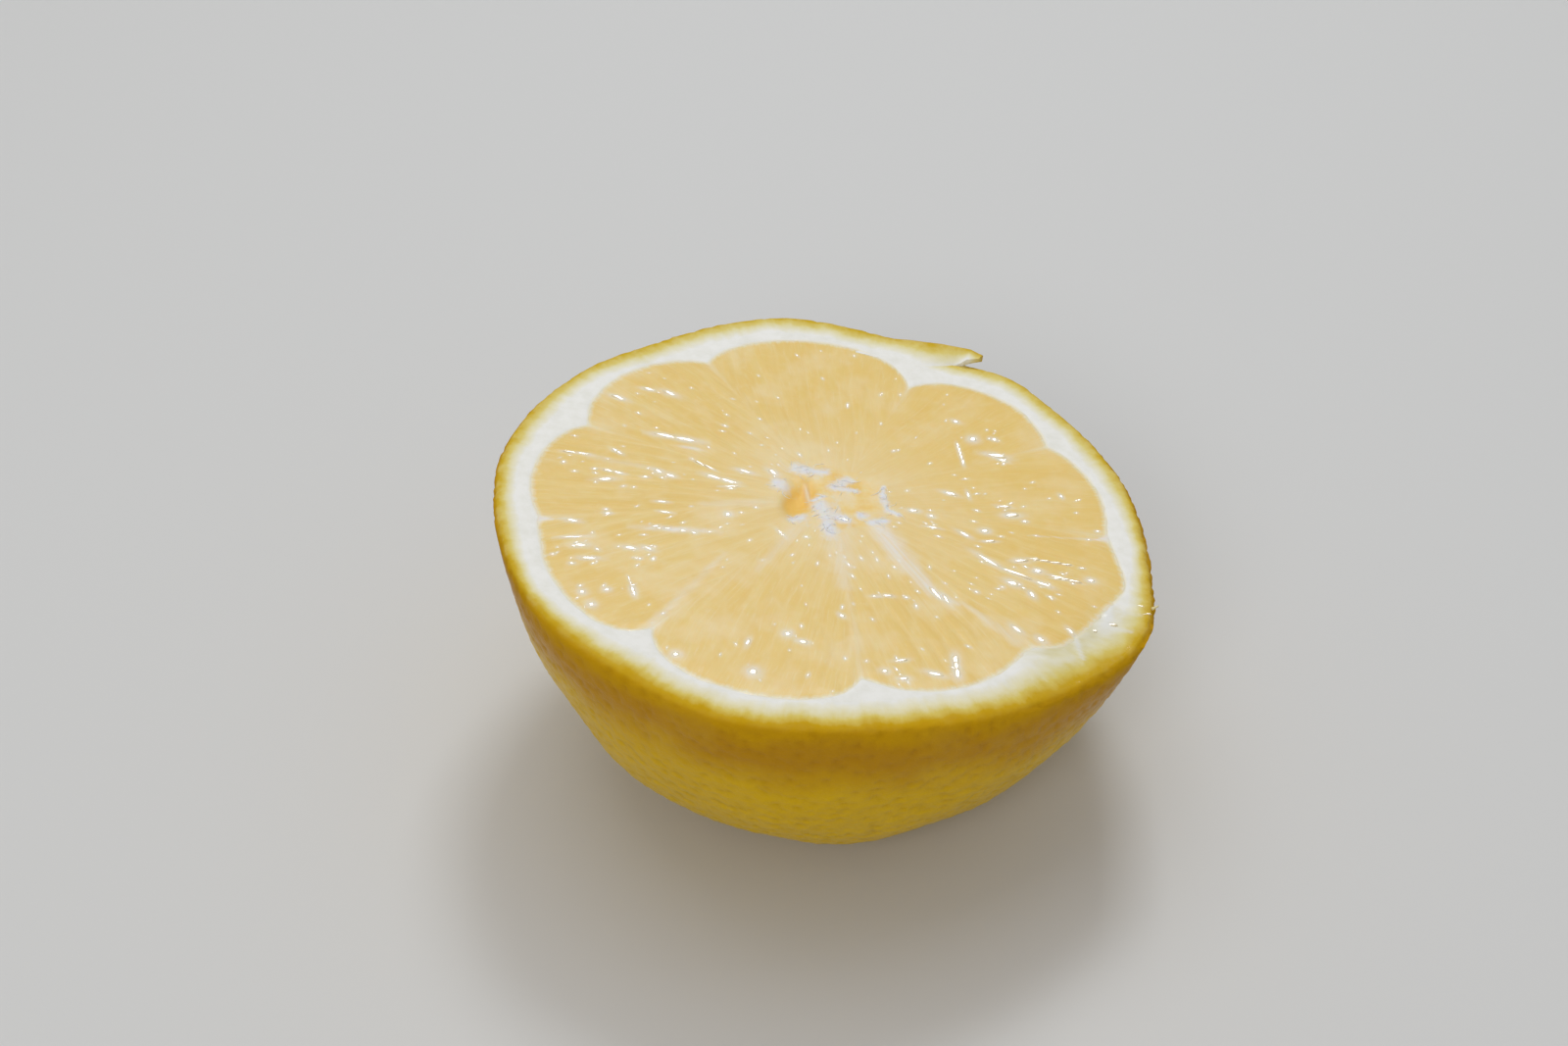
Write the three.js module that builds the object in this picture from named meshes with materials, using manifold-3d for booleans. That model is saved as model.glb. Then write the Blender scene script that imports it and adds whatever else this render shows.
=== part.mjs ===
// Half of a lemon, cut across its segments, lying on its stem end with the cut face up.
// Millimetres, +Z up. The origin is on the resting plane, below the middle of the outline.
// The fruit is one body: its cut face shows the coloured skin, the white pith, nine pulp segments
// between thin membranes, and a loose core. The knife left a tongue of peel and a bruised facet.
import * as THREE from 'three';
import { mergeVertices } from 'three/addons/utils/BufferGeometryUtils.js';
import Module from 'manifold-3d';

const { degToRad, lerp, smoothstep } = THREE.MathUtils;

// --- Overall size ---
const RIM_RADIUS = 29.7; // mean radius of the cut face
const CUT_HEIGHT = 26; // cut plane above the resting plane, on the axis
const CUT_TILT = 6.2; // degrees that the oblique cut falls towards +X
const AXIS = new THREE.Vector2(0.14, -0.53); // axis of the half, which centres its outline on the origin

// --- Outline of the cut face, in degrees round the axis from +X towards +Y ---
const RIM_BULGES = [
  { at: 50, out: 0.65, spread: 5.5 },
  { at: 64, out: -0.8, spread: 4 },
  { at: 97, out: 1.2, spread: 9 },
  { at: 128, out: -0.4, spread: 7 },
  { at: 172, out: 0.4, spread: 12 },
  { at: 215, out: 0.6, spread: 13 },
  { at: 252, out: 0.7, spread: 9 },
  { at: 284, out: -0.5, spread: 12 },
  { at: 333, out: 1.8, spread: 10 },
];

// --- Layers of the peel, on the cut face ---
const SKIN = 1.3; // the coloured layer, outside the pith
const RIM_ROUND = 0.35; // the knife's edge on the skin is slightly rounded

// --- Pulp: each segment starts at a membrane and reaches a radius. The pith pokes in by a notch
// beside the membrane, and thins out over the notch's spread in degrees. ---
const CORE = new THREE.Vector2(1.0, 1.2); // where the membranes meet, from the axis
const SEGMENTS = [
  { membrane: 29, notch: 1.9, spread: 8, reach: 26.7 },
  { membrane: 66.4, notch: 5.0, spread: 8, reach: 26.7 },
  { membrane: 118, notch: 2.8, spread: 8, reach: 26.6 },
  { membrane: 157.6, notch: 2.8, spread: 8, reach: 27.0 },
  { membrane: 191.2, notch: 1.0, spread: 8, reach: 27.2 },
  { membrane: 231.3, notch: 3.2, spread: 4.5, reach: 26.6 },
  { membrane: 277, notch: 3.4, spread: 8, reach: 25.7 },
  { membrane: 316.5, notch: 1.8, spread: 8, reach: 27.1 },
  { membrane: 357.7, notch: 0.9, spread: 8, reach: 26.8 },
];
const PULP_BULGES = [
  { at: 198, out: -0.3, spread: 4 },
  { at: 343.5, out: 1.1, spread: 4.5 },
];
const MEMBRANE_HALF = 1.1; // degrees from a membrane's crest to the pulp beside it
const COLUMN = 3.2; // degrees between the columns of points inside a segment
const PULP_SINK = 0.35; // the pulp lies this far below the membranes and the pith
const SACS = 36; // juice sacs side by side, all the way round
const SAC_RELIEF = 0.16;
const SAC_SWAY = { size: 2, out: 9, round: 3 }; // how their lines sway on the way out, and round the axis
const PULP_RIM = 0.96; // share of the way out at which the pulp starts to rise to the pith

// --- Core: a spongy middle with one hollow ---
const HOLLOW = { x: -2.6, y: 0.8, radius: 1.7, depth: 2.6 };
const CORE_SPONGE = { radius: 3.4, height: 0.45 }; // a low mound, where the membranes run out

// --- Marks of the knife ---
const LOW_CUT = { at: 58, spread: 6, depth: 0.25, from: 24, to: 29 };
const FACET = { at: 318, spread: 13, depth: 0.7, from: 25, to: 30 };
// The tongue of peel, as sections from its root in the skin to its free tip: the section's outer
// and inner corner on the cut plane, the height of its top over that plane, and its thickness.
const TONGUE = [
  { outer: [4.6, 28.9], inner: [4.0, 26.9], top: -0.25, thick: 2.2 },
  { outer: [8.9, 28.2], inner: [8.2, 26.1], top: 0.25, thick: 2.3 },
  { outer: [12.6, 27.3], inner: [11.9, 25.4], top: 0.7, thick: 1.9 },
  { outer: [15.2, 26.5], inner: [14.6, 25.1], top: 0.9, thick: 1.3 },
  { outer: [16.5, 25.9], inner: [16.0, 25.1], top: 0.7, thick: 0.9 },
];

// --- Outside: from the rim down to a small flat foot round the stem scar ---
const FLANK_STEPS = 14;
const FLANK_BELLY = 0.8; // exponents of the flank's curve: its width and its height
const FLANK_RISE = 1.32;
const FLANK_EVEN = 2.4; // how fast the outline's bulges die away below the rim
const FOOT_SHARE = 0.24; // foot radius as a share of the rim's
const FOOT_SHIFT = new THREE.Vector2(-0.6, -1.7); // foot centre from the axis
const FURROWS = 9; // shallow furrows that run out from the stem end
const FURROW_DEPTH = 0.25;
const WAVE_HEIGHT = 0.12; // low waves of the skin: how many go round, and how they lean on the way up
const WAVES = [
  { round: 5, lean: 7 },
  { round: 11, lean: -9 },
];
// Under the fruit, from the flat foot inwards to the scar: radius, and height over the resting plane.
const STEM_PROFILE = [
  [5.4, 0],
  [4.6, 0.25],
  [3.6, 0.8],
  [2.6, 1.25],
  [2.1, 0.9],
  [1.4, 0.5],
];
const STEM_TIP = 0.45; // the scar's middle, still clear of the resting plane

// Degrees from a to b, the short way round.
const turn = (a, b) => ((((a - b) % 360) + 540) % 360) - 180;
// A smooth hump of height 1 at 0.
const hump = (x, spread) => Math.exp(-0.5 * (x / spread) ** 2);

// How far a set of bulges pushes an edge out at this angle.
function bulging(bulges, deg) {
  return bulges.reduce((sum, b) => sum + b.out * hump(turn(deg, b.at), b.spread), 0);
}

// Radius of the outline, with its bulges at full strength on the rim.
function rimRadius(deg, strength = 1) {
  return RIM_RADIUS + strength * bulging(RIM_BULGES, deg);
}

// The pulp's outer edge: an arc for each segment, cut in where the pith fills the corners.
function pulpRadius(deg) {
  const notches = SEGMENTS.map((s) => s.notch * Math.exp(-Math.abs(turn(deg, s.membrane)) / s.spread));
  return segmentReach(deg) + bulging(PULP_BULGES, deg) - Math.max(...notches);
}

// The reach of the segment at this angle, blended into the next one across their membrane.
function segmentReach(deg) {
  let reach = 0;
  let weight = 0;
  SEGMENTS.forEach((s, i) => {
    const next = SEGMENTS[(i + 1) % SEGMENTS.length];
    const width = (next.membrane - s.membrane + 360) % 360;
    const middle = s.membrane + width / 2;
    const inside = 1 - smoothstep(Math.abs(turn(deg, middle)), width / 2 - 4, width / 2 + 4);
    reach += s.reach * inside;
    weight += inside;
  });
  return reach / weight;
}

// Angles of the columns of points: three at each membrane, and even steps between them.
function columnAngles() {
  return SEGMENTS.flatMap((s, i) => {
    const next = SEGMENTS[(i + 1) % SEGMENTS.length];
    const width = ((next.membrane - s.membrane + 360) % 360) - 2 * MEMBRANE_HALF;
    const steps = Math.round(width / COLUMN);
    const start = s.membrane + MEMBRANE_HALF;
    return [s.membrane, ...Array.from({ length: steps + 1 }, (_, k) => start + (width * k) / steps)];
  });
}

const isMembrane = (deg) => SEGMENTS.some((s) => Math.abs(turn(deg, s.membrane)) < MEMBRANE_HALF / 2);

const polar = (deg, r) => new THREE.Vector2(Math.cos(degToRad(deg)) * r, Math.sin(degToRad(deg)) * r);

// How far the knife's marks lower the cut face at a point of it.
function knifeMarks(p, deg) {
  return [LOW_CUT, FACET].reduce(
    (w, m) => w - m.depth * hump(turn(deg, m.at), m.spread) * smoothstep(p.length(), m.from, m.to),
    0,
  );
}

// Height of the pulp over the cut plane, at a share of the way from the core to the pulp's edge.
function pulpHeight(p, deg, share) {
  const hollow = HOLLOW.depth * hump(Math.hypot(p.x - HOLLOW.x, p.y - HOLLOW.y), HOLLOW.radius);
  const fromCore = p.distanceTo(CORE) / CORE_SPONGE.radius;
  const sponge = CORE_SPONGE.height * hump(fromCore, 0.6);
  const sway = SAC_SWAY.size * Math.sin(SAC_SWAY.out * share + SAC_SWAY.round * degToRad(deg));
  const sac = Math.sin(SACS * degToRad(deg) + sway);
  const body = isMembrane(deg) ? 0 : SAC_RELIEF * sac * Math.sin(Math.PI * share) - PULP_SINK;
  const pulp = body * (1 - smoothstep(share, PULP_RIM, 1)) * smoothstep(fromCore, 0.7, 1.6);
  return pulp + sponge - hollow + knifeMarks(p, deg);
}

// From the cut plane's own coordinates to the part's frame.
const tilt = new THREE.Matrix4().makeRotationY(degToRad(CUT_TILT)).setPosition(AXIS.x, AXIS.y, CUT_HEIGHT);
const onCut = (p, height) => new THREE.Vector3(p.x, p.y, height).applyMatrix4(tilt);

// --- Rings of points, from the middle of the cut face out, down the flank and in under the foot ---

// Shares of the way from the core to the pulp's edge, closer together near both.
const PULP_STOPS = [
  0.04, 0.08, 0.12, 0.16, 0.21, 0.27, 0.34, 0.42, 0.51, 0.6, 0.69, 0.78, 0.86, 0.93, 0.97, 1,
];

function pulpRing(share) {
  return (deg) => {
    const p = CORE.clone().lerp(polar(deg, pulpRadius(deg)), share);
    return onCut(p, pulpHeight(p, deg, share));
  };
}

// A ring on the peel's cut edge, at a radius set from the rim and the pulp.
function peelRing(radiusOf, drop) {
  return (deg) => {
    const p = polar(deg, radiusOf(rimRadius(deg), pulpRadius(deg)));
    return onCut(p, knifeMarks(p, deg) - drop);
  };
}

function flankRing(step) {
  const angle = ((1 - step / FLANK_STEPS) * Math.PI) / 2;
  const wide = FOOT_SHARE + (1 - FOOT_SHARE) * Math.sin(angle) ** FLANK_BELLY;
  const rise = 1 - Math.cos(angle) ** FLANK_RISE;
  return (deg) => {
    const top = peelRing((rim) => rim, RIM_ROUND)(deg);
    const a = degToRad(deg);
    const middle = Math.sin(2 * angle); // 0 at the rim and at the foot
    const furrow = FURROW_DEPTH * Math.sin(FURROWS * a) * middle * (1 - rise);
    const wave = WAVES.reduce((sum, w) => sum + Math.sin(w.round * a + w.lean * rise), 0);
    const radius = rimRadius(deg, rise ** FLANK_EVEN) * wide + WAVE_HEIGHT * wave * middle - furrow;
    const out = polar(deg, radius);
    const centre = AXIS.clone().addScaledVector(FOOT_SHIFT, 1 - rise);
    return new THREE.Vector3(centre.x + out.x, centre.y + out.y, top.z * rise);
  };
}

function footRing(radius, height) {
  return (deg) => {
    const p = polar(deg, radius).add(AXIS).add(FOOT_SHIFT);
    return new THREE.Vector3(p.x, p.y, height);
  };
}

function rings() {
  return [
    ...PULP_STOPS.map(pulpRing),
    peelRing((rim, pulp) => lerp(pulp, rim - SKIN, 0.5), 0),
    peelRing((rim) => rim - SKIN, 0),
    peelRing((rim) => rim - RIM_ROUND, 0),
    ...Array.from({ length: FLANK_STEPS + 1 }, (_, step) => flankRing(step)),
    ...STEM_PROFILE.map(([radius, height]) => footRing(radius, height)),
  ];
}

// A closed skin over rings of points, each ring listed anticlockwise as seen from above, from the
// middle of the top to the middle of the underside.
function closedSkin(ringList, angles, topPoint, bottomPoint) {
  const points = [topPoint, ...ringList.flatMap((ring) => angles.map(ring)), bottomPoint];
  const n = angles.length;
  const at = (ring, column) => 1 + ring * n + (column % n);
  const last = points.length - 1;
  const index = [];
  for (let c = 0; c < n; c++) {
    index.push(0, at(0, c), at(0, c + 1));
    for (let r = 0; r + 1 < ringList.length; r++) {
      index.push(at(r, c), at(r + 1, c), at(r + 1, c + 1));
      index.push(at(r, c), at(r + 1, c + 1), at(r, c + 1));
    }
    index.push(last, at(ringList.length - 1, c + 1), at(ringList.length - 1, c));
  }
  return new THREE.BufferGeometry().setFromPoints(points).setIndex(index);
}

function fruit() {
  const middle = onCut(CORE, pulpHeight(CORE, 0, 0));
  const under = footRing(0, STEM_TIP)(0);
  return closedSkin(rings(), columnAngles(), middle, under);
}

// The tongue of peel: four corners to each section, joined along its length and capped.
function tongue() {
  const points = TONGUE.flatMap(({ outer, inner, top, thick }) => {
    const [o, i] = [new THREE.Vector2(...outer), new THREE.Vector2(...inner)];
    return [onCut(o, top), onCut(i, top), onCut(i, top - thick), onCut(o, top - thick)];
  });
  const index = [0, 3, 2, 0, 2, 1];
  for (let s = 0; s + 1 < TONGUE.length; s++) {
    for (let k = 0; k < 4; k++) {
      const [a, b] = [s * 4 + k, s * 4 + ((k + 1) % 4)];
      index.push(a, b, b + 4, a, b + 4, a + 4);
    }
  }
  const end = (TONGUE.length - 1) * 4;
  index.push(end, end + 1, end + 2, end, end + 2, end + 3);
  return new THREE.BufferGeometry().setFromPoints(points).setIndex(index);
}

// --- Join the tongue to the fruit ---

const wasm = await Module();
wasm.setup();

function solidOf(geometry) {
  const merged = mergeVertices(geometry);
  return new wasm.Manifold(
    new wasm.Mesh({
      numProp: 3,
      vertProperties: merged.attributes.position.array,
      triVerts: new Uint32Array(merged.index.array),
    }),
  );
}

function geometryOf(solid) {
  const mesh = solid.getMesh();
  return new THREE.BufferGeometry()
    .setAttribute('position', new THREE.BufferAttribute(new Float32Array(mesh.vertProperties), 3))
    .setIndex(new THREE.BufferAttribute(new Uint32Array(mesh.triVerts), 1));
}

const half = new THREE.Mesh(
  geometryOf(solidOf(fruit()).add(solidOf(tongue()))),
  new THREE.MeshStandardMaterial({ color: 0xd9b23c, roughness: 0.45, metalness: 0, flatShading: true }),
);
half.name = 'lemon_half';

const lemon = new THREE.Group();
lemon.add(half);

export default lemon;
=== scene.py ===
"""Looks for the lemon half: peel, pulp, membranes and core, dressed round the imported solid.

Lengths are in millimetres until a mesh is made. A place on the cut face is given as (u, v) from the
axis, u towards +X and v towards +Y, with a height h out of the cut.
"""
import math
import random

import bpy
import numpy as np
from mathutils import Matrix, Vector, noise
from mathutils.kdtree import KDTree


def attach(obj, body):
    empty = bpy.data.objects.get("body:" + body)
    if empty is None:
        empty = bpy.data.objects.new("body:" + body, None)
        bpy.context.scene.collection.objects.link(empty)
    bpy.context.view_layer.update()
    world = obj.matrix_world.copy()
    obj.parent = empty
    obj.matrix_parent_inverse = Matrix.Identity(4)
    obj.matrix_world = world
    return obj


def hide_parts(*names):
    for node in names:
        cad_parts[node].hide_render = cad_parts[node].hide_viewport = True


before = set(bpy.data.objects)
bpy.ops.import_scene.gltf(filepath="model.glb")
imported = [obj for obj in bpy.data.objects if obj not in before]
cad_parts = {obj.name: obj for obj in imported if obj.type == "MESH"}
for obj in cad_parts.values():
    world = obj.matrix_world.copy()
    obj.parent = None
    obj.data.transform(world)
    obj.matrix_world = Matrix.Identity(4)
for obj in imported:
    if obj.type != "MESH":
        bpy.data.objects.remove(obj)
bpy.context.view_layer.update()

MM = 0.001
SEED = 7
SHARP = math.radians(70)  # corners beyond this aren't smoothed over

# --- Sizes shared with the part's source ---
RIM_RADIUS = 29.7
CUT_HEIGHT = 26.0
TILT_COS, TILT_SIN = math.cos(math.radians(6.2)), math.sin(math.radians(6.2))  # the cut falls to +X
AXIS = (0.14, -0.53)
RIM_BULGES = [  # degrees round the axis, millimetres out, spread in degrees
    (50, 0.65, 5.5),
    (64, -0.8, 4),
    (97, 1.2, 9),
    (128, -0.4, 7),
    (172, 0.4, 12),
    (215, 0.6, 13),
    (252, 0.7, 9),
    (284, -0.5, 12),
    (333, 1.8, 10),
]
RIM_ROUND = 0.55
CORE = (1, 1.2)
# Membrane's angle, how far the pith pokes in beside it and over how many degrees, segment's reach.
SEGMENTS = [
    (29, 1.9, 8, 26.7),
    (66.4, 5, 8, 26.7),
    (118, 2.8, 8, 26.6),
    (157.6, 2.8, 8, 27),
    (191.2, 1, 8, 27.2),
    (231.3, 3.2, 4.5, 26.6),
    (277, 3.4, 8, 25.7),
    (316.5, 1.8, 8, 27.1),
    (357.7, 0.9, 8, 26.8),
]
SEGMENT_BLEND = 4  # degrees each side of a membrane over which its segments' reaches merge
PULP_BULGES = [  # degrees round the axis, millimetres out, spread in degrees
    (198, -0.3, 4),
    (343.5, 1.1, 4.5),
]
LOW_CUT = (58, 6, 0.25, 24, 29)  # angle, spread, depth, and the radii over which it deepens
FACET = (318, 13, 0.7, 25, 30)
TONGUE = [  # outer and inner corner of each section, height of its top, thickness
    ((4.6, 28.9), (4, 26.9), -0.25, 2.2),
    ((8.9, 28.2), (8.2, 26.1), 0.25, 2.3),
    ((12.6, 27.3), (11.9, 25.4), 0.7, 1.9),
    ((15.2, 26.5), (14.6, 25.1), 0.9, 1.3),
    ((16.5, 25.9), (16, 25.1), 0.7, 0.9),
]
FLANK_BELLY = 0.8
FLANK_RISE = 1.32
FLANK_EVEN = 2.4
FOOT_SHARE = 0.24
FOOT_SHIFT = np.array([-0.6, -1.7])
FURROWS = 9
FURROW_DEPTH = 0.25
WAVE_HEIGHT = 0.12
WAVES = [(5, 7), (11, -9)]
STEM_PROFILE = [(5.4, 0), (4.6, 0.25), (3.6, 0.8), (2.6, 1.25), (2.1, 0.9), (1.4, 0.5)]
STEM_TIP = 0.45

# --- Finer detail that only the looks have ---
COLUMNS = 600  # round the peel
PITH_ROWS = 14
FLANK_ROWS = 126
STEM_ROWS = 9
RECESS = 5.5  # depth of the peel's hollow, which the pulp and the core fill
RECESS_RINGS = (0.02, 0.5, 1)  # shares of the way from the core to the hollow's wall
LEDGE_DEPTH = 2
RIM_ANGLES = (22, 45, 68)  # rings round the rim's edge
FAR = 9  # for a point well clear of the skin or of the pulp's edge
STEM_DOWN = 40  # how far below the rim the stem's dimple is, along the skin
PORE_PITCH = 1.05  # oil glands of the skin
PORE_DEPTH = 0.2
PORE_SPREAD = 0.33  # of the pitch
SKIN_DENTS = [(0.1, 5), (0.09, 0.8)]  # height and size
PITH_SPONGE = [(0.04, 1.8), (0.02, 0.6)]
# Degrees round the axis, how much wider the coloured layer is cut there, spread in degrees.
ZEST_BULGES = [
    (84, 0.2, 22),
    (128, 0.15, 8),
    (146, -0.15, 8),
    (180, -0.3, 8),
    (208, -0.4, 10),
    (232, 0.17, 9),
    (278, 0.42, 24),
    (318, 0.6, 9),
    (355, -0.35, 10),
]
RIPE = (35, 42)  # where round the axis the pulp is a deeper gold: middle and spread
# Painted shade on the rim's front: the cut zest there is a deeper, darker yellow.
SHADED_AMBER = (274, 44)  # and the skin's cut a deeper yellow
SKIN_DEEP = 30  # how far below the rim the skin has its last colour
ZEST_DEEP = 4  # how far in from the skin the pith's own colour is reached
PULP_COAT = 0.12  # wet gloss of the pulp
SAC_WIDTH = 1.5  # a juice sac across, 20 mm from the core
SAC_LENGTH = 6.5
SAC_COLUMNS = 9  # sacs each side of a segment's middle
SAC_ROWS = 8
SAC_FAN = 0.55  # 0: the sacs converge on the core, 1: they lie side by side
PULP_COLUMNS = 700
CORE_ROWS = 26
PULP_ROWS = 110
PULP_LEVEL = -0.05
PULP_EDGE = 0.03  # how far the pulp dips at the pith
PULP_TUCK = 0.3  # and under it
PULP_GRAIN = (0.012, 1.3)  # height and size
SAC_CROWN = 0.022
SAC_LIFT = 0.012  # how much some sacs stand above others
MEMBRANE_RISE = 0.012
FILM_RISE = 0.02
PULP_DEPTH = 3
LAP = 1.2  # how far the pulp runs on under the pith, and the pith under the pulp
PITH_EDGE = (-LAP, -0.7, -0.35, -0.15, 0, 0.15, 0.3, 0.5)  # its first rings, past the pulp's edge
PITH_LIP = 0.08  # how far the pith dips where it meets the pulp
PITH_TUCK = 0.35  # and where it runs under it
# How the pith joins the tongue: section, reach inwards, share that stands clear, colour's width.
TONGUE_WEB = [
    (0, 1.6, 0, 0.75),
    (0.8, 1.8, 0, 1),
    (1.7, 2, 0, 1.35),
    (2.3, 1.2, 0, 1.2),
    (2.7, 0.45, 0, 0.8),
    (3.1, 0.2, 0.7, 0.5),
    (4, 0.05, 1, 0.9),
]
TONGUE_RINGS = 30
WEB_SINK = 0.06  # how far below the cut the pith that joins them ends
SCAR_PROFILE = [  # radius and height, from the middle out and up into the dimple
    (0.2, 0.32), (0.7, 0.28), (1, 0.34), (1.25, 0.5),
    (1.7, 0.62), (2.15, 0.8), (2.2, 1), (1.6, 1.5),
]
CORE_RADIUS = 4.6
CORE_LEVEL = -0.09
CORE_GRAIN = (0.02, 0.9)
FLUFF_RISE = 0.03
HOLLOW = ((-2.2, 0.9), (1.7, 2.9), 0.6)  # middle, half widths, depth
HOLLOW_LEAN = 0.3  # how far its long axis leans towards +X as it goes towards +Y
STRUT = (-1.7, 3.2, -1.3, 0.4, 0.25)  # a pale strand across the hollow: its ends and half width
FLUFF = [  # torn white fibre of the core: both ends of each tuft and its half width
    (-4.3, 2.8, -3.8, 2.4, 0.75),
    (-2.6, 5.4, -1.4, 5, 0.75),
    (-1.4, 5, 0.2, 5, 0.45),
    (0.9, 2.9, 2.2, 4.2, 0.6),
    (0.9, 2.8, 3, 2.6, 0.35),
    (-1, 1, 0, 1.4, 0.3),
    (-2.9, -2.3, -2.1, -2, 0.55),
    (-0.3, 0.1, 0.3, -1.2, 0.95),
    (0.1, -1.6, 0.5, -3.8, 0.75),
    (0.6, -1.2, 1.7, -1.7, 0.7),
    (3.3, -0.8, 3.4, -1, 0.5),
    (5.6, 3.6, 5.5, 2.6, 0.22),
    (5.5, 2.4, 5.8, 0.2, 0.34),
    (4.2, -1.9, 5.5, -1.5, 0.4),
    (6.2, 0, 6.8, -0.4, 0.3),
]
FILMS = [  # pale films of membrane that lie on the pulp: two ends, half width at each, strength
    (4.5, -1.3, 6.7, -6.2, 1.2, 1.4, 1),
    (6.7, -6.2, 9.3, -10.8, 1.4, 0.8, 0.9),
    (9.3, -10.8, 11.6, -12.2, 0.7, 0.3, 0.7),
    (1.2, -3.4, 1.6, -11, 1.8, 0.8, 0.5),
    (-2.4, -3.4, -6, -9.5, 1, 0.5, 0.35),
    (-5, -0.2, -11, -1.2, 0.9, 0.5, 0.35),
    (-9, -8, -12.5, -14, 0.4, 0.7, 0.35),
    (-12, -13, -15.4, -18.9, 0.3, 0.75, 0.5),
    (1.8, -11, 2.6, -19, 0.3, 0.7, 0.2),
    (12, -12, 16.5, -16.5, 0.3, 0.8, 0.5),
    (-14, 3, -22, 4.5, 0.3, 0.5, 0.3),
    (-26.2, -5.45, -24.3, -5.15, 0.75, 0.1, 1.5),
    (-24.6, -5.2, -21.8, -4.7, 0.1, 0.08, 0.6),
    (26.8, -1.2, 25.1, -1.6, 0.8, 0.15, 1.5),
    (25.6, -1.6, 18.8, -1.8, 0.2, 0.1, 0.55),
]
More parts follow.
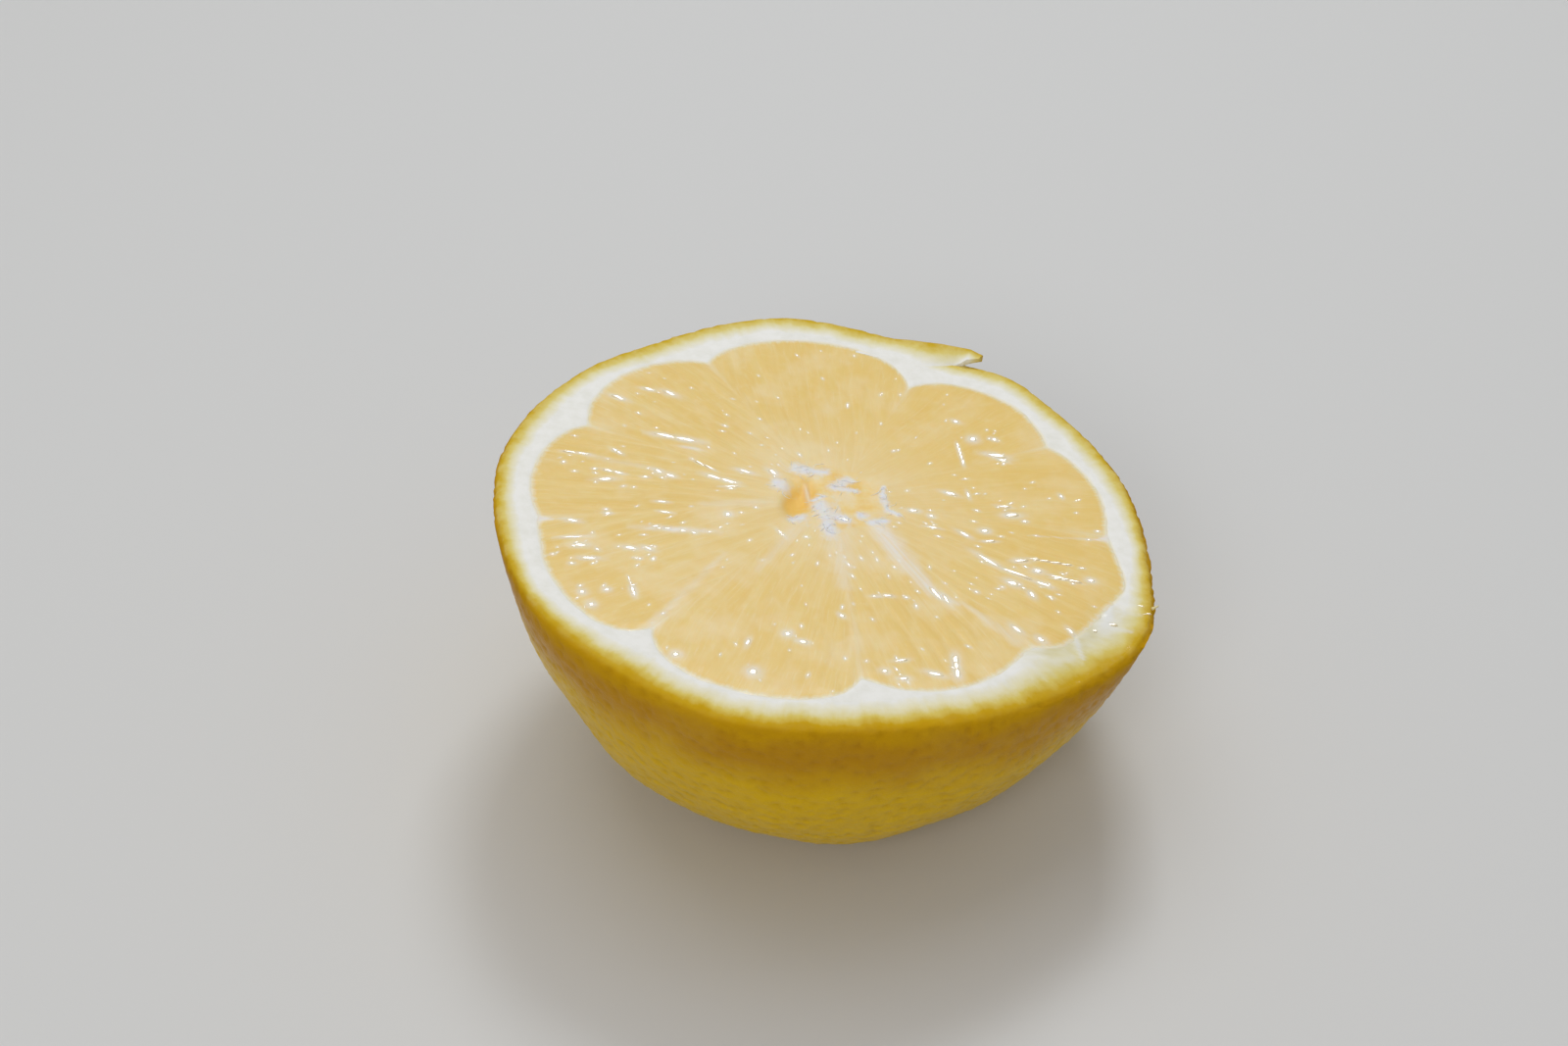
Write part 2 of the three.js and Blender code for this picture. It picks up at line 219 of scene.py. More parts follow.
# Wet marks on the cut: both ends, width, and shine from 0 for a milky mark to 1 for a bright bead.
# A milky mark is only a pale patch in the pulp's colour: partly milky juice, partly a painted
# reflection.
GLINTS = [
    (-15.9, 8.7, -11.9, 8.1, 0.45, 1), (-13.2, 7.1, -11.9, 6.9, 0.4, 0),
    (-15.3, 15.7, -14.3, 15.2, 0.5, 1), (-17.3, 15.9, -16.4, 15.7, 0.35, 0.3),
    (-20.2, 14.2, -19.2, 13.8, 0.42, 0.6), (-24.2, 4.8, -21.8, 4.7, 0.2, 0.5),
    (-24.1, 3.2, -24.1, 3.3, 0.3, 0.7), (-20.4, 2.6, -18.6, 2.2, 0.26, 0.8),
    (-21.3, 2.6, -21.1, 2.6, 0.25, 0.7), (-20.7, 1.1, -19.6, 1.3, 0.45, 0.6),
    (-23.1, 2, -22.9, 2, 0.22, 0.7), (-19.7, 5.8, -18.9, 5.2, 0.3, 0.5),
    (-15.6, 3.2, -15.1, 2.9, 0.42, 0.9), (-14.5, 2.6, -13.9, 2.5, 0.36, 0.8),
    (-16.7, 2, -16.3, 2, 0.3, 0.3), (-12, 5, -10.3, 4, 0.22, 0.3),
    (-10.9, 3.1, -8.3, 2.3, 0.34, 0.9), (-9.4, 1.6, -8, 1.8, 0.2, 0.8),
    (-7.9, 4.3, -6.9, 4, 0.3, 0.8), (-5, 4.6, -4.5, 4.1, 0.45, 1),
    (-8.9, -2.4, -8.7, -2.4, 0.45, 1), (-14.9, -2.8, -13.9, -2.9, 0.22, 0.8),
    (-15.2, -1.4, -14.4, -1.4, 0.3, 0.2), (-23.2, -5.1, -22.2, -5.2, 0.36, 1),
    (-19.8, -3.7, -19.4, -3.7, 0.25, 0.6), (-15.9, -5.3, -11.4, -5.1, 0.7, 0),
    (-15.5, -5, -15, -4.9, 0.22, 0.5), (-14.4, -5.2, -13.8, -5.1, 0.2, 0.6),
    (-13, -5.3, -12.5, -5.3, 0.22, 0.5), (-12, -5.4, -11.6, -5.5, 0.26, 0.7),
    (-23.4, -7.6, -21.3, -7.2, 0.2, 1), (-22.2, -8.5, -21.3, -8.4, 0.42, 1),
    (-21.5, -10.2, -20.2, -10.1, 0.45, 0.5), (-17.8, -8.2, -16.9, -8.3, 0.36, 0.6),
    (-16.1, -8, -15.4, -8.3, 0.32, 1), (-20.3, -8.7, -20.1, -8.9, 0.3, 0.5),
    (-22.4, -11, -22.1, -11, 0.26, 0.6), (-24.1, -10, -23.9, -10, 0.22, 0.7),
    (-16.8, -9.6, -16.6, -9.6, 0.22, 0.6), (-15.3, -9.5, -15.2, -9.4, 0.22, 0.6),
    (-21.1, -14.7, -21.1, -14.6, 0.52, 1), (-20.2, -16.2, -20.2, -16.1, 0.5, 1),
    (-19.1, -14.1, -18.9, -14.1, 0.4, 0.8), (-17.3, -12.2, -16.9, -13.4, 0.16, 0.2),
    (-16.9, -13.6, -16.6, -14.5, 0.4, 1), (-12.9, -21.6, -12.7, -21.6, 0.52, 0.9),
    (-6.4, -23, -6.2, -23, 0.8, 1), (-6.9, -19.7, -6.7, -19.1, 0.4, 0.2),
    (-3.5, -17.9, -3.3, -17.9, 0.55, 1), (-2.3, -18.7, -1.9, -18.8, 0.45, 0.4),
    (1.2, -14.9, 1.4, -15.1, 0.36, 0.5), (1.9, -7.9, 2.2, -8.3, 0.2, 0.7),
    (-4.3, -4.1, -3.7, -4.9, 0.2, 0.8), (-1.8, -4.7, -1.6, -4.7, 0.2, 0.8),
    (1.3, -1.5, 2.1, -1.8, 0.26, 1), (8, 0.4, 8.6, 0.4, 0.36, 1),
    (9.8, -0.1, 10, -0.2, 0.36, 1), (9.4, -1.7, 10.4, -1.9, 0.2, 0.5),
    (12.4, -2.1, 13.2, -2.7, 0.34, 0.6), (9.2, -10.4, 10.1, -11.7, 0.3, 0.8),
    (10.3, -11.2, 10.8, -12.2, 0.3, 1), (4.1, -12.1, 4.9, -12, 0.36, 0),
    (4.1, -12.1, 4.3, -12.1, 0.25, 0.7), (5, -11.9, 5.7, -11.9, 0.25, 0.7),
    (7, -11.9, 7.1, -11.9, 0.3, 0.6), (13.3, -10.3, 13.4, -10.4, 0.3, 0.9),
    (10.9, -19, 11, -21.5, 0.5, 1), (8.5, -21.3, 9.6, -21.6, 0.42, 0.9),
    (4.7, -21.6, 4.9, -21.6, 0.48, 0.8), (6.1, -22.4, 6.6, -22.3, 0.4, 1),
    (5.8, -20.2, 6.7, -20, 0.32, 0.4), (13, 15, 13.2, 14.9, 0.48, 0.3),
    (14.5, 12.3, 14.7, 12.3, 0.62, 1), (16.6, 12.6, 16.8, 12.5, 0.5, 0.3),
    (15.9, 10.1, 17.5, 9.8, 0.55, 1), (17, 9.4, 17.6, 9.2, 0.4, 0.6),
    (13, 11.2, 13.4, 8.2, 0.32, 0.2), (11.4, 3.6, 12.3, 3.3, 0.4, 0.3),
    (13.5, 3.8, 13.6, 3.2, 0.35, 0.2), (16.3, 2.2, 17.3, 2.1, 0.25, 0.5),
    (17, 0.9, 17.9, 1, 0.48, 1), (18.5, 0.2, 18.7, 0.2, 0.3, 0.5),
    (14.6, -1.7, 14.9, -1.7, 0.45, 1), (14.6, -3.2, 15.6, -3.1, 0.25, 0.8),
    (25.3, -0.3, 25.5, -0.3, 0.25, 0.8), (22.4, 4.6, 22.5, 4.4, 0.3, 0.5),
    (13.9, -5.2, 15.7, -6.7, 0.36, 1), (15.9, -6.8, 18.3, -8, 0.26, 0.8),
    (19, -8.3, 20.2, -8.9, 0.3, 0.8), (17.3, -5.6, 18.2, -5.5, 0.3, 1),
    (18.5, -5.1, 22.3, -5.6, 0.15, 0.8), (19, -6.8, 19.4, -6.8, 0.46, 0.9),
    (16.4, -8.6, 17, -8.9, 0.5, 1), (15.7, -9.4, 15.8, -9.4, 0.26, 1),
    (18.2, -9.8, 18.5, -10.4, 0.4, 1), (20.3, -7.2, 22.9, -8, 0.2, 0.7),
    (20.4, -7.6, 22, -7.7, 0.16, 0.7), (23.8, -7.5, 24.1, -7.5, 0.4, 1),
    (19.9, -10.2, 20.1, -10.3, 0.3, 0.3), (16.3, -14.6, 16.9, -15.3, 0.38, 0.8),
    (18.4, -15.8, 18.8, -16.2, 0.4, 1), (21.2, -14.3, 21.6, -14.9, 0.34, 0.7),
    (23.5, -14, 23.7, -14.1, 0.26, 0.9), (24.8, -13, 25.7, -13.1, 0.26, 1),
    (27.8, -10.2, 28.4, -10.4, 0.1, 0.7), (28.3, -11.3, 28.9, -11.3, 0.12, 0.7),
]
SPECKS = 300  # the finest beads, in groups round the other marks and alone
SPECK_SCATTER = 0.9
SPECK_RADII = (5, 26)  # those alone lie this far from the core
SPECK_HALF = (0.04, 0.1)  # their half width
BEAD_RISE = 0.14  # a bead that would climb further than this is broken up
BEAD_DOME = 0.08  # how much steeper a bead's side is than its middle
DULL_TILT = 0.07  # how far a bead of no shine leans away from its mirroring slope

# --- Studio ---
FACE = np.array([AXIS[0], AXIS[1], CUT_HEIGHT])  # middle of the cut face
EYE = FACE + [-3.7, -154.44, 122.81]  # the camera
EYE_PITCH = math.radians(38.96)  # it looks down by this much, along +Y
LENS = 49.5
CLIP_START = 0.005
KEY = (11, 59, 600)  # azimuth, where 0 is +Y and 90 is +X, elevation and distance from the cut face
LIGHTS = [  # name, place, size, power, colour: the wet marks mirror the key light
    ("top_soft", (-30, 74, 900), 0.7, 1.95, (1, 1, 1)),
    ("key", KEY, 0.15, 1.0, (0.9, 0.95, 1.0)),
    ("front", (200, 35, 700), 0.25, 1.0, (1, 1, 1)),
]
WORLD_LIGHT = 0.35
FLOOR_HALF = 2.0
FLOOR_COLOUR = (212, 211, 209)

BRUISE = (308, 318, 337.5, 341)  # degrees where the squashed pith begins, is full, is last full, ends
SHREDS = [  # torn bits of pith there: two ends, half width at each, strength
    (24.3, -13.9, 25.4, -10.2, 1, 0.3, 1),
    (21.4, -14.3, 22, -17.5, 0.4, 0.3, 0.9),
    (24.4, -11, 27.8, -11.5, 0.35, 0.25, 0.4),
    (25.4, -10.1, 28, -10.4, 0.25, 0.2, 0.35),
    (24.6, -13.4, 26.6, -13.6, 0.5, 0.3, 0.7),
    (17.8, -17.2, 22.6, -14.6, 0.7, 0.5, 0.45),
    (19, -18.8, 21.2, -17.6, 0.5, 0.4, 0.4),
]
TOOTH = (29.1, -10.55, 29.75, -10.25, 0.16, 0.05)  # a shred that stands out of the rim, likewise


def turn(a, b):
    """Degrees from b to a, the short way round."""
    return (a - b + 180) % 360 - 180


def hump(x, spread):
    return np.exp(-0.5 * (x / spread) ** 2)


def smoothstep(x, low, high):
    """From 0 at low to 1 at high, which may be the lesser."""
    t = np.clip((x - low) / (high - low), 0, 1)
    return t * t * (3 - 2 * t)


def bulging(bulges, deg):
    return sum(out * hump(turn(deg, at), spread) for at, out, spread in bulges)


def rim_radius(deg, strength=1.0):
    return RIM_RADIUS + strength * bulging(RIM_BULGES, deg)


def segment_width(k):
    """Degrees from a segment's first membrane to the next segment's."""
    return (SEGMENTS[(k + 1) % len(SEGMENTS)][0] - SEGMENTS[k][0]) % 360


def pulp_radius(deg):
    reach, weight, notches = 0, 0, []
    for k, (membrane, notch, spread, radius) in enumerate(SEGMENTS):
        half = segment_width(k) / 2
        off = np.abs(turn(deg, membrane + half))
        inside = smoothstep(off, half + SEGMENT_BLEND, half - SEGMENT_BLEND)
        reach, weight = reach + radius * inside, weight + inside
        notches.append(notch * np.exp(-np.abs(turn(deg, membrane)) / spread))
    return reach / weight + bulging(PULP_BULGES, deg) - np.max(notches, axis=0)


def polar(deg, radius):
    a = np.radians(deg)
    return np.stack([np.cos(a) * radius, np.sin(a) * radius], -1)


def degrees_round(uv):
    return np.degrees(np.arctan2(uv[..., 1], uv[..., 0]))


def aim(azimuth, elevation, distance):
    """A place at this distance from the middle of the cut face."""
    a, e = math.radians(azimuth), math.radians(elevation)
    level = math.cos(e)
    return FACE + distance * np.array([math.sin(a) * level, math.cos(a) * level, math.sin(e)])


def knife_marks(uv):
    deg, radius = degrees_round(uv), np.hypot(uv[..., 0], uv[..., 1])
    return -sum(
        depth * hump(turn(deg, at), spread) * smoothstep(radius, near, far)
        for at, spread, depth, near, far in (LOW_CUT, FACET)
    )


def on_cut(uv, height):
    """Places on the cut face, at a height out of it, in the part's frame."""
    u, v = uv[..., 0], uv[..., 1]
    x = AXIS[0] + u * TILT_COS + height * TILT_SIN
    z = CUT_HEIGHT - u * TILT_SIN + height * TILT_COS
    return np.stack([x, AXIS[1] + v, z], -1)


def value_noise(points, scale):
    """Smooth noise from -1 to 1 at an array of points, with features about scale across."""
    flat = points.reshape(-1, points.shape[-1]) / scale
    if flat.shape[1] == 2:
        flat = np.column_stack([flat, np.zeros(len(flat))])
    return np.array([noise.noise(p) for p in flat.tolist()]).reshape(points.shape[:-1])


def unit(vectors):
    """The same directions, with lengths of 1."""
    return vectors / np.maximum(np.linalg.norm(vectors, axis=-1, keepdims=True), 1e-9)


def rough(points, *layers):
    """Noise in layers, each a height and the size of its features."""
    return sum(height * value_noise(points, size) for height, size in layers)


def cell_noise(points, scale):
    """Distance to the nearest cell centre, in scales."""
    flat = (points.reshape(-1, 3) / scale).tolist()
    return np.array([noise.voronoi(p)[0][0] for p in flat]).reshape(points.shape[:-1])


def line(ends):
    """Start of a line between two places, from their four numbers, and the way to its end."""
    start, end = np.reshape(ends, (2, 2))
    return start, end - start


def stroke(uv, ends):
    """Distance of each place from a line between two places, and the share of the way along it."""
    start, way = line(ends)
    share = np.clip((uv - start) @ way / (way @ way), 0, 1)
    return np.linalg.norm(uv - start - share[..., None] * way, axis=-1), share


def fluff(uv):
    """How much torn white fibre covers each place, 0 to 1."""
    ragged = 1 + rough(uv, (0.5, 0.9), (0.35, 0.3))
    off = np.array([stroke(uv, ends)[0] * ragged / half for *ends, half in FLUFF])
    return np.max(smoothstep(off, 1.7, 0.1), axis=0)


def laid(uv, strokes, ragged, solid):
    """How much tapering strokes cover each place: they are solid over this share of their width."""
    cover = []
    for *ends, near, far, strength in strokes:
        off, share = stroke(uv, ends)
        off = off * ragged / (near + (far - near) * share)
        cover.append(strength * smoothstep(off, 1.3, solid) * smoothstep(share, -0.4, 0.3))
    return np.max(cover, axis=0)


def film(uv):
    return laid(uv, FILMS, 1 + 0.4 * value_noise(uv, 1.1), 0.0)


def shreds(uv):
    return laid(uv, SHREDS, 1 + 0.35 * value_noise(uv, 0.7), 0.1)


def bruise(uv):
    """How squashed and wet the pith is, 0 to 1."""
    deg = degrees_round(uv) % 360
    low, full, last, high = BRUISE
    return smoothstep(deg, low, full) * smoothstep(deg, high, last)


def mirror_slope(middle):
    """How a facet of the cut here rises towards +X and +Y to show the camera the key light."""
    place = on_cut(np.array(middle, dtype=float), 0.0)
    facing = unit(EYE - place) + unit(aim(*KEY) - place)
    out = facing[0] * TILT_SIN + facing[2] * TILT_COS
    return np.array([facing[2] * TILT_SIN - facing[0] * TILT_COS, -facing[1]]) / out


def juice_beads():
    """Wet marks: middle, direction, half length, half width and shine of each."""
    rng = random.Random(SEED)
    beads = []
    for *ends, width, shine in GLINTS:
        start, way = line(ends)
        climb = abs(way @ mirror_slope(start)) if shine else 0
        count = max(1, math.ceil(climb / BEAD_RISE))
        for n in range(count):
            share = (n + 0.5 + rng.uniform(-0.05, 0.05)) / count
            half = width / 2 * rng.uniform(0.85, 1.1)
            long = np.hypot(*way) / 2 / count * rng.uniform(1.1, 1.25)
            long += half * (0.7 if shine else 0.3)
            beads.append((start + way * share, math.atan2(way[1], way[0]), long, half, shine))
    for n in range(SPECKS):
        if n % 2:
            start, way = line(rng.choice(GLINTS)[:4])
            middle = start + way * rng.random()
            middle += [rng.gauss(0, SPECK_SCATTER), rng.gauss(0, SPECK_SCATTER)]
        else:
            angle, radius = rng.uniform(0, 360), rng.uniform(*SPECK_RADII)
            middle = CORE + polar(angle, radius)
        if np.hypot(*middle) > pulp_radius(degrees_round(middle)) - 0.4:
            continue
        half = rng.uniform(*SPECK_HALF)
        long = half * rng.uniform(1, 2.8)
        angle = math.radians(degrees_round(middle - CORE)) + rng.gauss(0, 0.4)
        beads.append((middle, angle, long, half, rng.uniform(0.2, 0.9)))
    return beads


def milk(uv, beads):
    """How milky the pulp is round the wet marks, 0 to 1: milky juice and a painted halo of glints."""
    cloud = np.zeros(len(uv))
    for middle, angle, long, half, shine in beads:
        near = np.abs(uv - middle).max(-1) < long + 5 * half
        off = uv[near] - middle
        along = (off[:, 0] * math.cos(angle) + off[:, 1] * math.sin(angle)) / (1.15 * long + half)
        wide = (1.2 + 0.9 * shine) * half
        across = (off[:, 1] * math.cos(angle) - off[:, 0] * math.sin(angle)) / wide
        cloud[near] = np.maximum(cloud[near], np.exp(-(along**2) - across**2))
    return cloud


# --- Meshes ---


def linked(name, data):
    """An object in the scene for a mesh, light or camera."""
    obj = bpy.data.objects.new(name, data)
    bpy.context.scene.collection.objects.link(obj)
    return obj


def make_mesh(name, points, faces, fields=None):
    """A smooth mesh from points in millimetres, with fields of a value per point, padded with 0."""
    mesh = bpy.data.meshes.new(name)
    mesh.from_pydata((np.asarray(points) * MM).tolist(), [], faces)
    for field, values in (fields or {}).items():
        values = np.asarray(values, dtype=np.float32)
        padded = np.zeros((len(points), *values.shape[1:]), dtype=np.float32)
        padded[: len(values)] = values
        kind, key = ("FLOAT_VECTOR", "vector") if values.ndim == 2 else ("FLOAT", "value")
        mesh.attributes.new(field, kind, "POINT").data.foreach_set(key, padded.ravel())
    mesh.shade_smooth()
    mesh.set_sharp_from_angle(angle=SHARP)
    mesh.update()
    return linked(name, mesh)


def capped(rings, ends=None):
    """Points and faces of a closed tube through rings of points (ring, place, 3), and its ends."""
    rows, columns = rings.shape[:2]
    points = np.vstack([rings.reshape(-1, 3), *(ends or (rings[0].mean(0), rings[-1].mean(0)))])
    faces = []
    first, last = rows * columns, rows * columns + 1
    base = (rows - 1) * columns
    for c in range(columns):
        d = (c + 1) % columns
        faces += [(a + c, a + columns + c, a + columns + d, a + d) for a in range(0, base, columns)]
        faces += [(first, c, d), (last, base + d, base + c)]
    a, b = rings[:-1], rings[1:]
    turned = np.cross(b - a, np.roll(a, -1, axis=1) - a)
    if np.sum(turned * (a - rings.mean((0, 1)))) < 0:
        faces = [face[::-1] for face in faces]
    return points, faces


def joined(parts):
    """One set of points and faces from several."""
    points, faces, start = [], [], 0
    for part_points, part_faces in parts:
        points.append(part_points)
        faces += [tuple(i + start for i in face) for face in part_faces]
        start += len(part_points)
    return np.vstack(points), faces


def grid_normals(points):
    """Unit normals of a grid of rings (row, column, 3)."""
    along = np.gradient(points, axis=0)
    round_ = np.roll(points, -1, axis=1) - np.roll(points, 1, axis=1)
    return unit(np.cross(along, round_))


# --- Peel: pith and skin, from the hollow that the pulp fills to the stem scar ---


def flank_profile(angle):
    """Width and height of the flank at an angle of its curve, as shares of those at the rim."""
    wide = FOOT_SHARE + (1 - FOOT_SHARE) * np.sin(angle) ** FLANK_BELLY
    return wide, 1 - np.maximum(np.cos(angle), 0) ** FLANK_RISE


def flank_angles(rows):
    """Angles down the flank's curve at even steps of the way."""
    a = np.linspace(math.pi / 2, 0, 4000)
    wide, rise = flank_profile(a)
    steps = np.hypot(RIM_RADIUS * np.diff(wide), CUT_HEIGHT * np.diff(rise))
    way = np.concatenate([[0], np.cumsum(steps)])
    return np.interp(np.linspace(0, way[-1], rows), way, a)


def flank_ring(angle, deg):
    wide, rise = flank_profile(angle)
    edge = polar(deg, rim_radius(deg))
    top = on_cut(edge, knife_marks(edge) - RIM_ROUND)[..., 2]
    a = np.radians(deg)
    middle = math.sin(2 * angle)
    furrow = FURROW_DEPTH * np.sin(FURROWS * a) * middle * (1 - rise)
    wave = WAVE_HEIGHT * middle * sum(np.sin(n * a + lean * rise) for n, lean in WAVES)
    out = polar(deg, rim_radius(deg, rise**FLANK_EVEN) * wide + wave - furrow)
    return np.column_stack([AXIS + FOOT_SHIFT * (1 - rise) + out, top * rise])


def foot_ring(radius, height, deg):
    out = polar(deg, radius)
    return np.column_stack([AXIS + FOOT_SHIFT + out, np.broadcast_to(height, len(deg))])


def peel():
    deg = np.arange(COLUMNS) * 360 / COLUMNS
    border, rim = pulp_radius(deg), rim_radius(deg)
    edge = polar(deg, rim)
    ragged = 0.3 * value_noise(edge, 2.4) + 0.14 * value_noise(edge + 50, 0.6)
    zest = 1 + bulging(ZEST_BULGES, deg)
    inner = polar(deg, border - LAP)
    rings, cut_in, down, beyond = [], [], [], []

    def add(ring, across, below, from_pulp=FAR):
        rings.append(ring)
        for values, value in ((cut_in, across), (down, below), (beyond, from_pulp)):
            values.append(np.broadcast_to(value, COLUMNS))

    for share in RECESS_RINGS:
        add(on_cut(CORE + (inner - CORE) * share, -RECESS), FAR, 0)
    add(on_cut(inner, knife_marks(inner) - LEDGE_DEPTH), FAR, 0)
    wall_rows = len(rings)
    steps = np.linspace(0, 1, PITH_ROWS + 1)[1:, None]
    for past in [*PITH_EDGE, *PITH_EDGE[-1] + (rim - RIM_ROUND - border - PITH_EDGE[-1]) * steps]:
        ring = polar(deg, border + past)
        dip = PITH_LIP * smoothstep(past, 0.6, -0.1) + PITH_TUCK * smoothstep(past, 0.25, -LAP)
        add(on_cut(ring, knife_marks(ring) - dip), (rim - border - past) / zest + ragged, 0, past)
    for angle in np.radians(RIM_ANGLES):
        radius = rim - RIM_ROUND * (1 - math.sin(angle))
        ring = polar(deg, radius)
        fall = RIM_ROUND * (1 - math.cos(angle))
        add(on_cut(ring, knife_marks(ring) - fall), (rim - radius) / zest, 0)
    cut_rows = len(rings)
    flank = [flank_ring(a, deg) for a in flank_angles(FLANK_ROWS)]
    for ring in flank:
        add(ring, 0, np.linalg.norm(ring - flank[0], axis=1))
    profile = np.array(STEM_PROFILE)
    steps = np.linspace(0, len(profile) - 1, STEM_ROWS)
    columns = (np.interp(steps, range(len(profile)), column) for column in profile.T)
    for radius, height in zip(*columns):
        add(foot_ring(radius, height, deg), 0, STEM_DOWN)

    points = np.array(rings)
    skin = np.zeros((len(rings), 1))
    skin[cut_rows - 4 : cut_rows, 0] = np.linspace(0.2, 0.9, 4)
    skin[cut_rows:] = 1
    cut = np.zeros((len(rings), 1))
    cut[wall_rows : cut_rows - 3] = 1
    pore = np.exp(-((cell_noise(points, PORE_PITCH) / PORE_SPREAD) ** 2))
    dent = rough(points, *SKIN_DENTS) - PORE_DEPTH * pore
    place = points[..., :2] - AXIS
    squashed, torn = bruise(place) * cut, shreds(place) * cut
    ripple = squashed * (0.09 * value_noise(place * [0.5, 1.6], 0.9) - 0.05) + 0.07 * torn
    relief = skin * dent + cut * rough(points, *PITH_SPONGE) + ripple
    points = points + grid_normals(points) * relief[..., None]
    points[..., 2] = np.maximum(points[..., 2], 0)

    ends = on_cut(np.array(CORE), -RECESS), foot_ring(0, STEM_TIP, np.zeros(1))[0]
    points, faces = capped(points, ends)
    # Painted shade: the cut zest is darker round the front of the rim.
    shaded_amber = np.tile(hump(turn(deg, SHADED_AMBER[0]), SHADED_AMBER[1]), len(rings))
    round_ = np.tile(polar(deg, RIM_RADIUS), (len(rings), 1))
    fields = {"cut_in": cut_in, "down": down, "beyond": beyond}
    fields |= {"pore": pore, "bruise": squashed, "torn": torn}
    fields = {name: np.ravel(values) for name, values in fields.items()}
    fields |= {"shaded_amber": shaded_amber, "fibre": np.column_stack([round_, 0.3 * fields["cut_in"]])}
    return make_mesh("peel", points, faces, fields)


def peel_tongue():
    """The sliver of peel that the knife left: its pith runs into the rim's and its tip is free."""
    sections = np.array([(*outer, *inner, top, thick) for outer, inner, top, thick in TONGUE])
    place, *web = np.transpose(TONGUE_WEB)
    known = range(len(TONGUE))
    across = np.linspace(0, 1, 12)
    rings, cut_in, down = [], [], []
    for step in np.linspace(0, known[-1], TONGUE_RINGS):
        *corners, high, deep = (np.interp(step, known, column) for column in sections.T)
        out, into = np.reshape(corners, (2, 2))
        reach, lift, coloured = (np.interp(step, place, column) for column in web)
        wide = np.linalg.norm(into - out)
        side = (into - out) / wide
        wide += reach
        flush = knife_marks(out + side * wide) - WEB_SINK
        inner_high = flush + lift * (high - flush)
        r = min(0.3, wide / 3, deep / 3)
        inner_low = inner_high - 0.5 * deep
        upper = [(r + (wide - r) * t, high + (inner_high - high) * t) for t in across]
        lower = [(wide * (1 - t), inner_low + (high - deep - inner_low) * t) for t in across]
        outside = [(0, high - deep + r + (deep - 2 * r) * t) for t in np.linspace(0, 1, 6)]
        loop = np.array([*outside, (0.3 * r, high - 0.3 * r), *upper, *lower])
        rings.append(on_cut(out + loop[:, :1] * side, loop[:, 1]))
        cut_in += [*loop[:, 0] / coloured]
        down += [*(high - loop[: len(outside), 1]), *[0] * (len(loop) - len(outside))]
    rings = np.array(rings)
    rings = rings + grid_normals(rings) * 0.04 * value_noise(rings, 0.9)[..., None]
    points, faces = capped(rings)
    fields = {"cut_in": [*cut_in, 3, 1], "down": down, "beyond": [FAR] * len(points)}
    return make_mesh("peel_tongue", points, faces, fields)


def tooth():
    """The one shred of pith that stands out of the rim."""
    *ends, near, far = TOOTH
    start, way = line(ends)
    side = np.array([-way[1], way[0]]) / np.hypot(*way)
    round_ = np.radians(np.arange(0, 360, 24))
    rings = []
    for t in np.linspace(0, 1, 20):
        half = (near + (far - near) * t) * math.sqrt(1.05 - t**6)
        middle = start + way * t
        uv = middle + (0.05 * noise.noise((t * 5, 3, 2)) + np.cos(round_)[:, None] * half) * side
        rings.append(on_cut(uv, knife_marks(middle) + 0.1 * np.sin(round_) + 0.12 * t - 0.03))
    points, faces = capped(np.array(rings))
    fields = {name: [value] * len(points) for name, value in (("cut_in", 1.5), ("beyond", FAR))}
    return make_mesh("pith_tooth", points, faces, fields)


# --- Pulp ---


def sac_space(across, out):
    """Radians off a segment's middle and millimetres from the core, counted in sacs."""
    return across * (out / 20) ** SAC_FAN * 20 / SAC_WIDTH, out / SAC_LENGTH


def juice_sacs():
    """For each segment, a tree of its sacs' centres in sac space, and their tints and lifts."""
    sacs = []
    for k in range(len(SEGMENTS)):
        rng = random.Random(SEED + k)
        centres = []
        for i in range(-SAC_COLUMNS, SAC_COLUMNS + 1):
            stagger = 0.5 * (i % 2) + rng.uniform(-0.2, 0.2)
            for j in range(-2, SAC_ROWS):
                across = i + rng.uniform(-0.32, 0.32)
                centres.append((across, j + stagger + rng.uniform(-0.3, 0.3), 0))
        tree = KDTree(len(centres))
        for i, centre in enumerate(centres):
            tree.insert(centre, i)
        tree.balance()
        tints, lifts = (np.array([rng.random() for _ in centres]) for _ in range(2))
        sacs.append((tree, tints, 2 * lifts - 1))
    return sacs


def membrane_rays():
    """Directions from the core along the membranes."""
    deg = np.array([float(membrane) for membrane, *_ in SEGMENTS])
    return unit(polar(deg, pulp_radius(deg)) - CORE)


